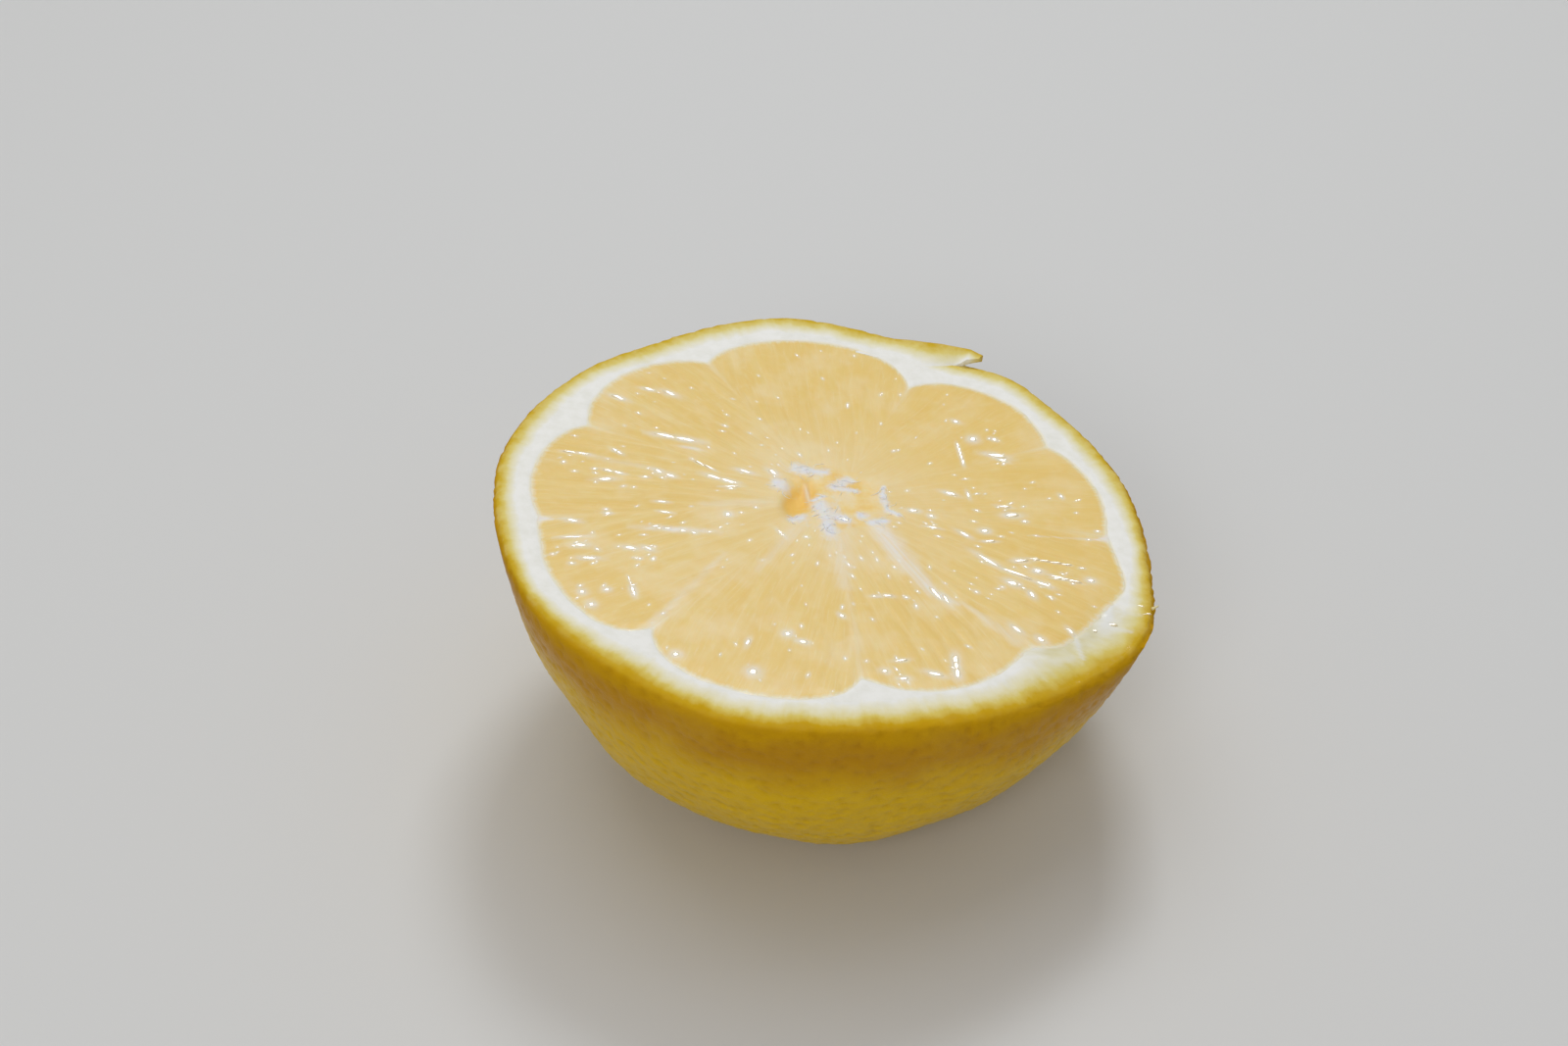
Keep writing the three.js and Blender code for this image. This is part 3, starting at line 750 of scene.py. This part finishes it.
def flesh(uv, sacs):
    """Height of the cut pulp and core at places (n, 2), and the fields that their colours use."""
    rays = membrane_rays()
    bearings = np.arctan2(rays[:, 1], rays[:, 0])
    starts = (bearings - bearings[0]) % (2 * math.pi)
    ends = np.append(starts[1:], 2 * math.pi)
    rel = uv - CORE
    out = np.linalg.norm(rel, axis=1)
    bearing = np.arctan2(rel[:, 1], rel[:, 0])
    round_ = (bearing - bearings[0]) % (2 * math.pi)
    segment = np.searchsorted(starts, round_, side="right") - 1
    a, b = rays[segment], np.roll(rays, -1, axis=0)[segment]
    from_a = a[:, 0] * rel[:, 1] - a[:, 1] * rel[:, 0]
    from_b = rel[:, 0] * b[:, 1] - rel[:, 1] * b[:, 0]
    to_side = np.minimum(from_a, from_b)
    deg = degrees_round(uv)
    to_pith = pulp_radius(deg) - np.hypot(uv[:, 0], uv[:, 1])

    x, y = sac_space(round_ - (starts[segment] + ends[segment]) / 2, out)
    x = x + 0.35 * value_noise(np.stack([x * 0.4, y * 0.9, segment * 5.1], -1), 1.0)
    near, next_, tint, lift = (np.empty(len(uv)) for _ in range(4))
    for k, (tree, tints, lifts) in enumerate(sacs):
        mine = segment == k
        found = [tree.find_n((px, py, 0), 2) for px, py in zip(x[mine].tolist(), y[mine].tolist())]
        near[mine] = [f[0][2] for f in found]
        next_[mine] = [f[1][2] for f in found]
        nearest = [f[0][1] for f in found]
        tint[mine], lift[mine] = tints[nearest], lifts[nearest]

    core = smoothstep(out + 0.8 * value_noise(uv, 2.2), CORE_RADIUS + 0.8, CORE_RADIUS - 1.2)
    inside = smoothstep(next_ - near, 0, 0.8)
    clear = smoothstep(to_side, 0, 0.6) * (1 - core)
    white, cover = fluff(uv), film(uv)
    lift = SAC_LIFT * lift * smoothstep(next_ - near, 0, 0.4)
    height = clear * (SAC_CROWN * (inside - 0.5) + lift)
    height += (1 - core) * MEMBRANE_RISE * (hump(to_side, 0.15) - hump(to_side, 0.5))
    height *= smoothstep(out, 0, 22)
    height += rough(uv, PULP_GRAIN) + core * rough(uv, CORE_GRAIN)
    height += PULP_LEVEL + core * (CORE_LEVEL - PULP_LEVEL)
    height -= PULP_EDGE * smoothstep(to_pith, 1.5, 0)
    height -= PULP_TUCK * smoothstep(-to_pith, 0.15, LAP)
    pit, strand = hollow(uv)
    height -= HOLLOW[2] * pit * (1 - 0.65 * strand)
    height += FLUFF_RISE * white * (1 + rough(uv, (0.3, 0.5))) + FILM_RISE * cover
    height += knife_marks(uv)
    fields = {
        "wall": np.exp(-(((next_ - near) / 0.13) ** 2)),
        "tint": tint,
        "from_core": out,
        "ripe": hump(turn(deg, RIPE[0]), RIPE[1]) * smoothstep(out, 3, 12),
        "core": core,
        "to_pith": to_pith,
        "to_side": to_side,
        "white": np.maximum(white, 0.6 * strand),
        "pit": pit,
        "film": cover,
        "grain": np.stack([x, y, segment * 11.0], -1),
    }
    return height, fields


def pulp(sacs, beads):
    """The cut pulp of all the segments and the core in one sheet, with its underside."""
    deg = []
    for k, (start, *_) in enumerate(SEGMENTS):
        count = round(segment_width(k) * PULP_COLUMNS / 360)
        deg += [start + segment_width(k) * n / count for n in range(count)]
    rays = polar(deg, pulp_radius(np.array(deg)) + LAP) - CORE
    reach = np.linalg.norm(rays, axis=1)
    rays = rays / reach[:, None]
    middle = CORE_RADIUS * np.linspace(0.02, 1, CORE_ROWS)[:-1, None] * np.ones(len(deg))
    steps = np.linspace(0, 1, PULP_ROWS)[:, None]
    out = np.vstack([middle, CORE_RADIUS + (reach - CORE_RADIUS) * steps])
    uv = CORE + rays * out[..., None]
    height, fields = flesh(uv.reshape(-1, 2), sacs)
    fields["milk"] = milk(uv.reshape(-1, 2), beads)
    rings = [on_cut(uv, height.reshape(out.shape)), on_cut(uv[-1:], -PULP_DEPTH)]
    return make_mesh("pulp", *capped(np.concatenate(rings)), fields)


def juice(sacs, beads):
    """Beads of juice on the cut, each leaning to mirror the key light."""
    rng = random.Random(SEED + 40)
    round_ = np.radians(np.arange(0, 360, 15))
    shares = np.array([1.0, 0.94, 0.86, 0.74, 0.5, 0.25])
    parts, edge = [], []
    for n, (middle, angle, long, half, shine) in enumerate(beads):
        if not shine:
            continue
        dull = rng.uniform(0, 2 * math.pi)
        lean = mirror_slope(middle) + polar(math.degrees(dull), DULL_TILT * (1 - shine))
        ragged = 1 + 0.22 * value_noise(np.stack([np.cos(round_) + 3 * n, np.sin(round_)], -1), 0.9)
        along, across = np.cos(round_) * long * ragged, np.sin(round_) * half * ragged
        c, s = math.cos(angle), math.sin(angle)
        outline = np.stack([along * c - across * s, along * s + across * c], -1)
        uv = middle + shares[:, None, None] * outline
        places = np.vstack([uv.reshape(-1, 2), middle])
        under, fields = flesh(places, sacs)
        under = np.where(fields["to_pith"] > 0, under, knife_marks(places))
        level, under = under[-1], under[:-1].reshape(uv.shape[:2])
        dome = 0.5 * BEAD_DOME * shares[:, None] ** 2 * (across**2 / half + 0.3 * along**2 / long)
        flat = (uv - middle) @ lean - dome + 0.002 * value_noise(uv, 0.3)
        top = level + flat - 0.6 * flat.min()
        full = smoothstep(shares, 1.0, 0.75)[:, None]
        height = under - 0.02 + full * (top + 0.02 - under)
        parts.append(capped(on_cut(uv, height)))
        edge += [*np.repeat(shares, len(round_)), 1, 0]
    return make_mesh("juice", *joined(parts), {"edge": edge})


# --- Core ---


def hollow(uv):
    """How deep in the core's hollow each place is, and how much of it the strand covers, 0 to 1."""
    middle, half, _ = HOLLOW
    across = uv[..., 0] - middle[0] - HOLLOW_LEAN * (uv[..., 1] - middle[1])
    off = np.hypot(across / half[0], (uv[..., 1] - middle[1]) / half[1])
    off = off * (1 + 0.25 * value_noise(uv, 1.3))
    pit = smoothstep(off, 1.25, 0.2)
    *ends, half = STRUT
    return pit, np.exp(-((stroke(uv, ends)[0] / half) ** 2)) * pit


def core_fibres(sacs):
    """Loose white strands that stand out of the torn core."""
    rng = random.Random(SEED + 20)
    parts = []
    for *ends, half in FLUFF:
        start, way = line(ends)
        for _ in range(int(3 + 4 * np.hypot(*way) * half)):
            foot = start + way * rng.random()
            foot += half * np.array([rng.gauss(0, 0.6), rng.gauss(0, 0.6)])
            angle = rng.uniform(0, 2 * math.pi)
            long, rise = rng.uniform(0.4, 1.2), rng.uniform(0.04, 0.2)
            bend = rng.uniform(-1.2, 1.2)
            thick = rng.uniform(0.02, 0.045)
            level = max(flesh(foot[None], sacs)[0][0], -0.4)
            t = np.linspace(0, 1, 8)
            along = polar(np.degrees(angle + bend * t), long * t)
            path = on_cut(foot + along, level + rise * np.sin(math.pi * t) - 0.02)
            ahead = unit(np.gradient(path, axis=0))
            side = unit(np.cross(ahead, [0, 0, 1]))
            up = np.cross(side, ahead)
            a = np.radians(range(0, 360, 60))[:, None]
            spokes = np.cos(a) * side[:, None] + np.sin(a) * up[:, None]
            parts.append(capped(path[:, None] + (thick * (1 - 0.7 * t))[:, None, None] * spokes))
    return make_mesh("core_fibres", *joined(parts))


def stem_scar():
    """The dry button in the dimple underneath, with the five lobes of the fruit's little crown."""
    deg = np.arange(0, 360, 4.0)
    lobes = 1 + 0.16 * np.cos(np.radians(5 * deg)) + 0.05 * np.cos(np.radians(11 * deg))
    rings = []
    for radius, height in SCAR_PROFILE:
        out = polar(deg, radius * lobes)
        rings.append(foot_ring(radius * lobes, height + rough(out, (0.05, 0.4)), deg))
    return make_mesh("stem_scar", *capped(np.array(rings)))


# --- Materials ---


def rgba(tone):
    """A linear colour from a grey, or from the 0 to 255 values that a colour picker shows."""
    if isinstance(tone, tuple):
        return (*((c / 255) ** 2.2 for c in tone), 1)
    return (tone, tone, tone, 1)


class Look:
    """A material in the making, with short names for the nodes that it is built from."""

    def __init__(self, name):
        self.material = bpy.data.materials.new(name)
        self.material.use_nodes = True
        self.tree = self.material.node_tree
        self.shader = self.tree.nodes["Principled BSDF"]
        self.place = self.node("ShaderNodeTexCoord").outputs["Object"]

    def plug(self, target, value):
        if isinstance(value, bpy.types.NodeSocket):
            self.tree.links.new(value, target)
        else:
            target.default_value = value

    def node(self, kind, inputs=None, **settings):
        made = self.tree.nodes.new(kind)
        for key, value in settings.items():
            setattr(made, key, value)
        for key, value in (inputs or {}).items():
            self.plug(made.inputs[key], value)
        return made

    def field(self, name, output="Fac"):
        return self.node("ShaderNodeAttribute", attribute_name=name).outputs[output]

    def maths(self, operation, *values):
        return self.node("ShaderNodeMath", dict(enumerate(values)), operation=operation).outputs[0]

    def times(self, a, b):
        return self.maths("MULTIPLY", a, b)

    def centred(self, value):
        return self.maths("SUBTRACT", value, 0.5)

    def noisy(self, scale, detail=2, roughness=0.5, vector=None, stretch=None):
        """Noise from 0 to 1, over the object or over another vector, which is stretched first."""
        vector = vector or self.place
        if stretch:
            mapping = self.node("ShaderNodeMapping", {"Vector": vector, "Scale": stretch})
            vector = mapping.outputs["Vector"]
        inputs = {"Vector": vector, "Scale": scale, "Detail": detail, "Roughness": roughness}
        return self.node("ShaderNodeTexNoise", inputs).outputs["Fac"]

    def ramp(self, fac, *stops, mode="LINEAR"):
        """A colour ramp through stops, each a position and a tone for rgba."""
        made = self.node("ShaderNodeValToRGB", {"Fac": fac})
        made.color_ramp.interpolation = mode
        elements = made.color_ramp.elements
        while len(elements) < len(stops):
            elements.new(0.5)
        for element, (position, tone) in zip(elements, stops):
            element.position = position
            element.color = rgba(tone)
        return made.outputs["Color"]

    def layers(self, base, *layers):
        """A tone with others laid over it in turn, each given after the share of it that shows."""
        for share, tone in layers:
            made = self.node("ShaderNodeMix", {0: share}, data_type="RGBA")
            for socket, value in ((made.inputs[6], base), (made.inputs[7], tone)):
                self.plug(socket, value if isinstance(value, bpy.types.NodeSocket) else rgba(value))
            base = made.outputs[2]
        return base

    def finish(self, colour, roughness, bump=None, depth=0.0, **constants):
        """The finished material: bump is a height from 0 to 1, and depth its scale in metres."""
        self.plug(self.shader.inputs["Base Color"], colour)
        self.plug(self.shader.inputs["Roughness"], roughness)
        if bump is not None:
            normal = self.node("ShaderNodeBump", {"Height": bump, "Distance": depth})
            self.plug(self.shader.inputs["Normal"], normal.outputs["Normal"])
        for key, value in constants.items():
            self.shader.inputs[key.replace("_", " ")].default_value = value
        return self.material


def peel_material():
    look = Look("peel")
    mottle = look.centred(look.noisy(180, 4, 0.6))
    down = look.maths("DIVIDE", look.field("down"), SKIN_DEEP)
    depth = look.maths("MULTIPLY_ADD", mottle, 0.16, down)
    # Painted shade: the skin is a deeper amber from about 1.5 to 8 mm below the rim, where the flank
    # turns under.
    skin = look.layers(
        look.ramp(
            depth,
            (0, (202, 152, 8)),
            (0.05, (189, 137, 2)),
            (0.12, (188, 136, 2)),
            (0.28, (220, 177, 14)),
            (1, (229, 190, 32)),
        ),
        (look.ramp(look.noisy(95, 3, 0.55), (0.50, 0), (0.75, 0.35)), (224, 186, 56)),
        (look.times(look.field("pore"), 0.24), (156, 104, 4)),
    )

    # From the skin inwards across the cut: zest, a pale band, then pith.
    ragged = look.centred(look.noisy(800, 4, 0.6))
    fur = look.centred(look.noisy(1.5, 3, 0.6, look.field("fibre", "Vector")))
    uneven = look.maths("ADD", look.times(ragged, 0.8), look.times(fur, 0.35))
    cut_in = look.field("cut_in")
    inside = look.ramp(cut_in, (0, 0), (0.5, 1))
    across = look.maths("MULTIPLY_ADD", uneven, inside, cut_in)
    across = look.maths("DIVIDE", across, ZEST_DEEP)
    # Round the front of the rim the zest is painted a deeper amber with fewer pale patches, as shade.
    shaded_amber = look.field("shaded_amber")
    side = look.ramp(across, (0, (196, 156, 22)), (0.12, (210, 176, 52)), (0.3, (220, 194, 86)))
    front = look.ramp(across, (0, (190, 142, 6)), (0.16, (202, 160, 14)), (0.3, (216, 184, 44)))
    glands = look.node("ShaderNodeTexVoronoi", {"Vector": look.place, "Scale": 1300})
    patches = look.ramp(look.noisy(650, 3, 0.6), (0.42, 0), (0.62, 0.4))
    zest = look.layers(
        side,
        (shaded_amber, front),
        (look.ramp(glands.outputs["Distance"], (0.2, 0.25), (0.75, 0)), (200, 158, 16)),
        (look.times(patches, look.ramp(shaded_amber, (0.1, 1), (0.6, 0.1))), (228, 212, 140)),
    )
    wet = look.field("bruise")
    squashed = look.ramp(
        look.noisy(500, 3, 0.55, stretch=(0.5, 1, 1)),
        (0.35, (224, 214, 170)),
        (0.5, (233, 227, 200)),
        (0.66, (243, 240, 230)),
    )
    sound = look.ramp(look.noisy(700, 4, 0.6), (0.3, (236, 234, 225)), (0.6, (244, 242, 236)))
    fringe = look.maths("MULTIPLY_ADD", ragged, 0.3, look.field("beyond"))
    colour = look.layers(
        skin,
        (look.ramp(across, (0, 0), (0.06, 1)), zest),
        (look.ramp(across, (0.14, 0), (0.44, 1)), (229, 215, 138)),
        (look.ramp(across, (0.28, 0), (0.64, 1)), look.layers(sound, (wet, squashed))),
        (look.times(look.field("torn"), 0.75), (239, 239, 238)),
        (look.ramp(fringe, (0, 0.8), (0.3, 0)), (242, 229, 190)),
    )
    roughness = look.layers(look.ramp(depth, (0, 0.85), (0.03, 0.6), (0.1, 0.3)), (wet, 0.16))
    fine = look.times(look.noisy(2200, 3), look.ramp(across, (0, 1), (0.1, 0.3)))
    return look.finish(colour, roughness, fine, 0.00008, Specular_IOR_Level=0.2, IOR=1.4)


def pulp_material():
    look = Look("pulp")
    grain = look.field("grain", "Vector")
    broad = look.noisy(1, 3, 0.6, grain, (0.45, 0.6, 1))
    streaks = look.noisy(1, 3, 0.55, grain, (1.7, 0.5, 1))
    wisps = look.noisy(1, 2, 0.5, grain, (4.5, 0.55, 1))
    flecks = look.noisy(1, 3, 0.6, grain, (7, 3, 1))
    clouds = look.noisy(200, 3, 0.55)
    cells = look.noisy(900, 4, 0.6)
    gold, cream, deep = (238, 206, 128), (243, 222, 167), (235, 195, 107)
    from_core, to_pith = look.field("from_core"), look.field("to_pith")
    colour = look.layers(
        gold,
        (look.ramp(broad, (0.34, 0.32), (0.52, 0)), deep),
        (look.ramp(broad, (0.50, 0), (0.72, 0.35)), cream),
        (look.ramp(streaks, (0.30, 0.22), (0.50, 0)), deep),
        (look.ramp(streaks, (0.50, 0), (0.78, 0.3)), cream),
        (look.ramp(wisps, (0.58, 0), (0.78, 0.18)), (250, 236, 204)),
        (look.ramp(flecks, (0.56, 0), (0.72, 0.22)), (250, 238, 208)),
        (look.ramp(flecks, (0.30, 0.14), (0.44, 0)), (236, 194, 108)),
        (look.ramp(clouds, (0.48, 0), (0.72, 0.45)), (248, 232, 196)),
        (look.times(look.field("tint"), 0.12), deep),
        (look.times(look.field("wall"), 0.1), (250, 234, 194)),
        (look.times(look.field("ripe"), 0.28), (241, 202, 108)),
        (look.ramp(look.maths("DIVIDE", from_core, 26), (0.2, 0.3), (0.6, 0)), (246, 228, 190)),
    )

    # Paler beside the pith and the membranes, and under the films.
    edge = look.maths("MULTIPLY_ADD", look.centred(wisps), 0.7, to_pith)
    border = look.ramp(edge, (0, 0.75), (0.14, 0.35), (0.45, 0), mode="EASE")
    near_pith = look.ramp(look.maths("DIVIDE", to_pith, 9), (0, 0.75), (0.3, 0.3), (0.7, 0.06))
    side = look.maths("DIVIDE", look.field("to_side"), 1.2)
    beside = look.ramp(side, (0, 0.9), (0.10, 0.55), (0.35, 0.22), (1, 0), mode="EASE")
    veil = look.times(look.field("film"), look.ramp(wisps, (0.35, 0.55), (0.65, 1)))
    colour = look.layers(
        colour,
        (border, (243, 236, 214)),
        (look.times(beside, near_pith), (245, 235, 208)),
        (veil, (240, 232, 220)),
    )

    # The core, its hollow and its torn fibre, and the milky rings of the wet marks, partly painted
    # highlight.
    core, white = look.field("core"), look.field("white")
    spongy = look.ramp(
        look.noisy(420, 3, 0.55),
        (0.36, (242, 200, 112)),
        (0.5, (244, 214, 146)),
        (0.66, (243, 222, 178)),
    )
    torn = look.maths("MULTIPLY_ADD", look.centred(cells), 1.6, core)
    # Partly painted highlight: the milky rings are a pale halo round each glint.
    milky = look.times(look.field("milk"), look.ramp(cells, (0.3, 0.6), (0.6, 1)))
    fluffy = look.times(white, look.ramp(cells, (0.3, 0.7), (0.55, 1)))
    colour = look.layers(
        colour,
        (look.ramp(torn, (0.1, 0), (1, 1)), spongy),
        (look.ramp(look.field("pit"), (0, 0), (0.7, 0.95), mode="EASE"), (245, 196, 96)),
        (look.times(milky, 0.85), (240, 238, 236)),
        (look.times(fluffy, 0.92), (229, 231, 236)),
    )
    dry = look.maths("MAXIMUM", white, core)
    roughness = look.layers(look.ramp(streaks, (0.3, 0.28), (0.8, 0.42)), (dry, 0.45))
    coat = look.maths("MULTIPLY_ADD", dry, -PULP_COAT, PULP_COAT)
    look.plug(look.shader.inputs["Coat Weight"], coat)
    return look.finish(
        colour, roughness, wisps, 0.000006, IOR=1.36, Coat_Roughness=0.12, Coat_IOR=1.45,
        Subsurface_Weight=0.35, Subsurface_Radius=(1, 0.75, 0.45), Subsurface_Scale=0.0005,
    )


def juice_material():
    look = Look("juice")
    cloudy = look.noisy(1800)
    clear = look.ramp(look.field("edge"), (0.2, 0), (0.95, 1), mode="EASE")
    # Each bead is paler in its middle, partly milky juice and partly a painted highlight under its
    # glint.
    pale = look.ramp(cloudy, (0.35, (244, 230, 200)), (0.65, (246, 240, 228)))
    colour = look.layers(pale, (clear, (243, 226, 184)))
    return look.finish(
        colour, 0.25, cloudy, 0.000002, IOR=1.36, Coat_Weight=1, Coat_Roughness=0.16, Coat_IOR=1.5
    )


def fibre_material():
    look = Look("fibre")
    tone = look.noisy(1200, 3)
    colour = look.ramp(tone, (0.3, (232, 233, 235)), (0.7, (246, 247, 248)))
    return look.finish(colour, 0.3, tone, 0.00002, IOR=1.4)


def stem_material():
    look = Look("stem")
    tone = look.noisy(1100, 5, 0.65)
    colour = look.ramp(tone, (0.3, (74, 54, 30)), (0.5, (118, 94, 52)), (0.7, (150, 136, 84)))
    return look.finish(colour, look.ramp(tone, (0.3, 0.7), (0.7, 0.9)), tone, 0.00015)


def dress(obj, material):
    obj.data.materials.append(material)
    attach(obj, "root")
    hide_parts("lemon_half")


# --- Build ---

rind = peel_material()
dress(peel(), rind)
dress(peel_tongue(), rind)
sacs = juice_sacs()
beads = juice_beads()
dress(pulp(sacs, beads), pulp_material())
dress(juice(sacs, beads), juice_material())
dress(core_fibres(sacs), fibre_material())
dress(tooth(), rind)
dress(stem_scar(), stem_material())

# --- Floor, light and camera ---


def floor():
    mesh = bpy.data.meshes.new("floor")
    corners = [(x * FLOOR_HALF, y * FLOOR_HALF, 0) for x, y in ((-1, -1), (1, -1), (1, 1), (-1, 1))]
    mesh.from_pydata(corners, [], [(0, 1, 2, 3)])
    mesh.materials.append(Look("floor").finish(rgba(FLOOR_COLOUR), 0.7))
    linked("floor", mesh)


def area_light(name, place, size, power, colour):
    """A square light that faces the cut face from an azimuth, elevation and distance."""
    light = bpy.data.lights.new(name, "AREA")
    light.size = size
    light.energy = power
    light.color = colour
    obj = linked(name, light)
    obj.location = Vector(aim(*place)) * MM
    obj.rotation_euler = (obj.location - Vector(FACE) * MM).to_track_quat("Z", "Y").to_euler()


floor()
for light in LIGHTS:
    area_light(*light)

world = bpy.data.worlds.new("studio")
bpy.context.scene.world = world
world.use_nodes = True
background = world.node_tree.nodes["Background"]
background.inputs["Color"].default_value = (1.0, 1.0, 1.0, 1)
background.inputs["Strength"].default_value = WORLD_LIGHT

camera = linked("camera", bpy.data.cameras.new("camera"))
camera.data.lens = LENS
camera.data.clip_start = CLIP_START
camera.location = Vector(EYE) * MM
camera.rotation_euler = (math.pi / 2 - EYE_PITCH, 0, 0)
bpy.context.scene.camera = camera
bpy.context.scene.view_settings.view_transform = "Standard"
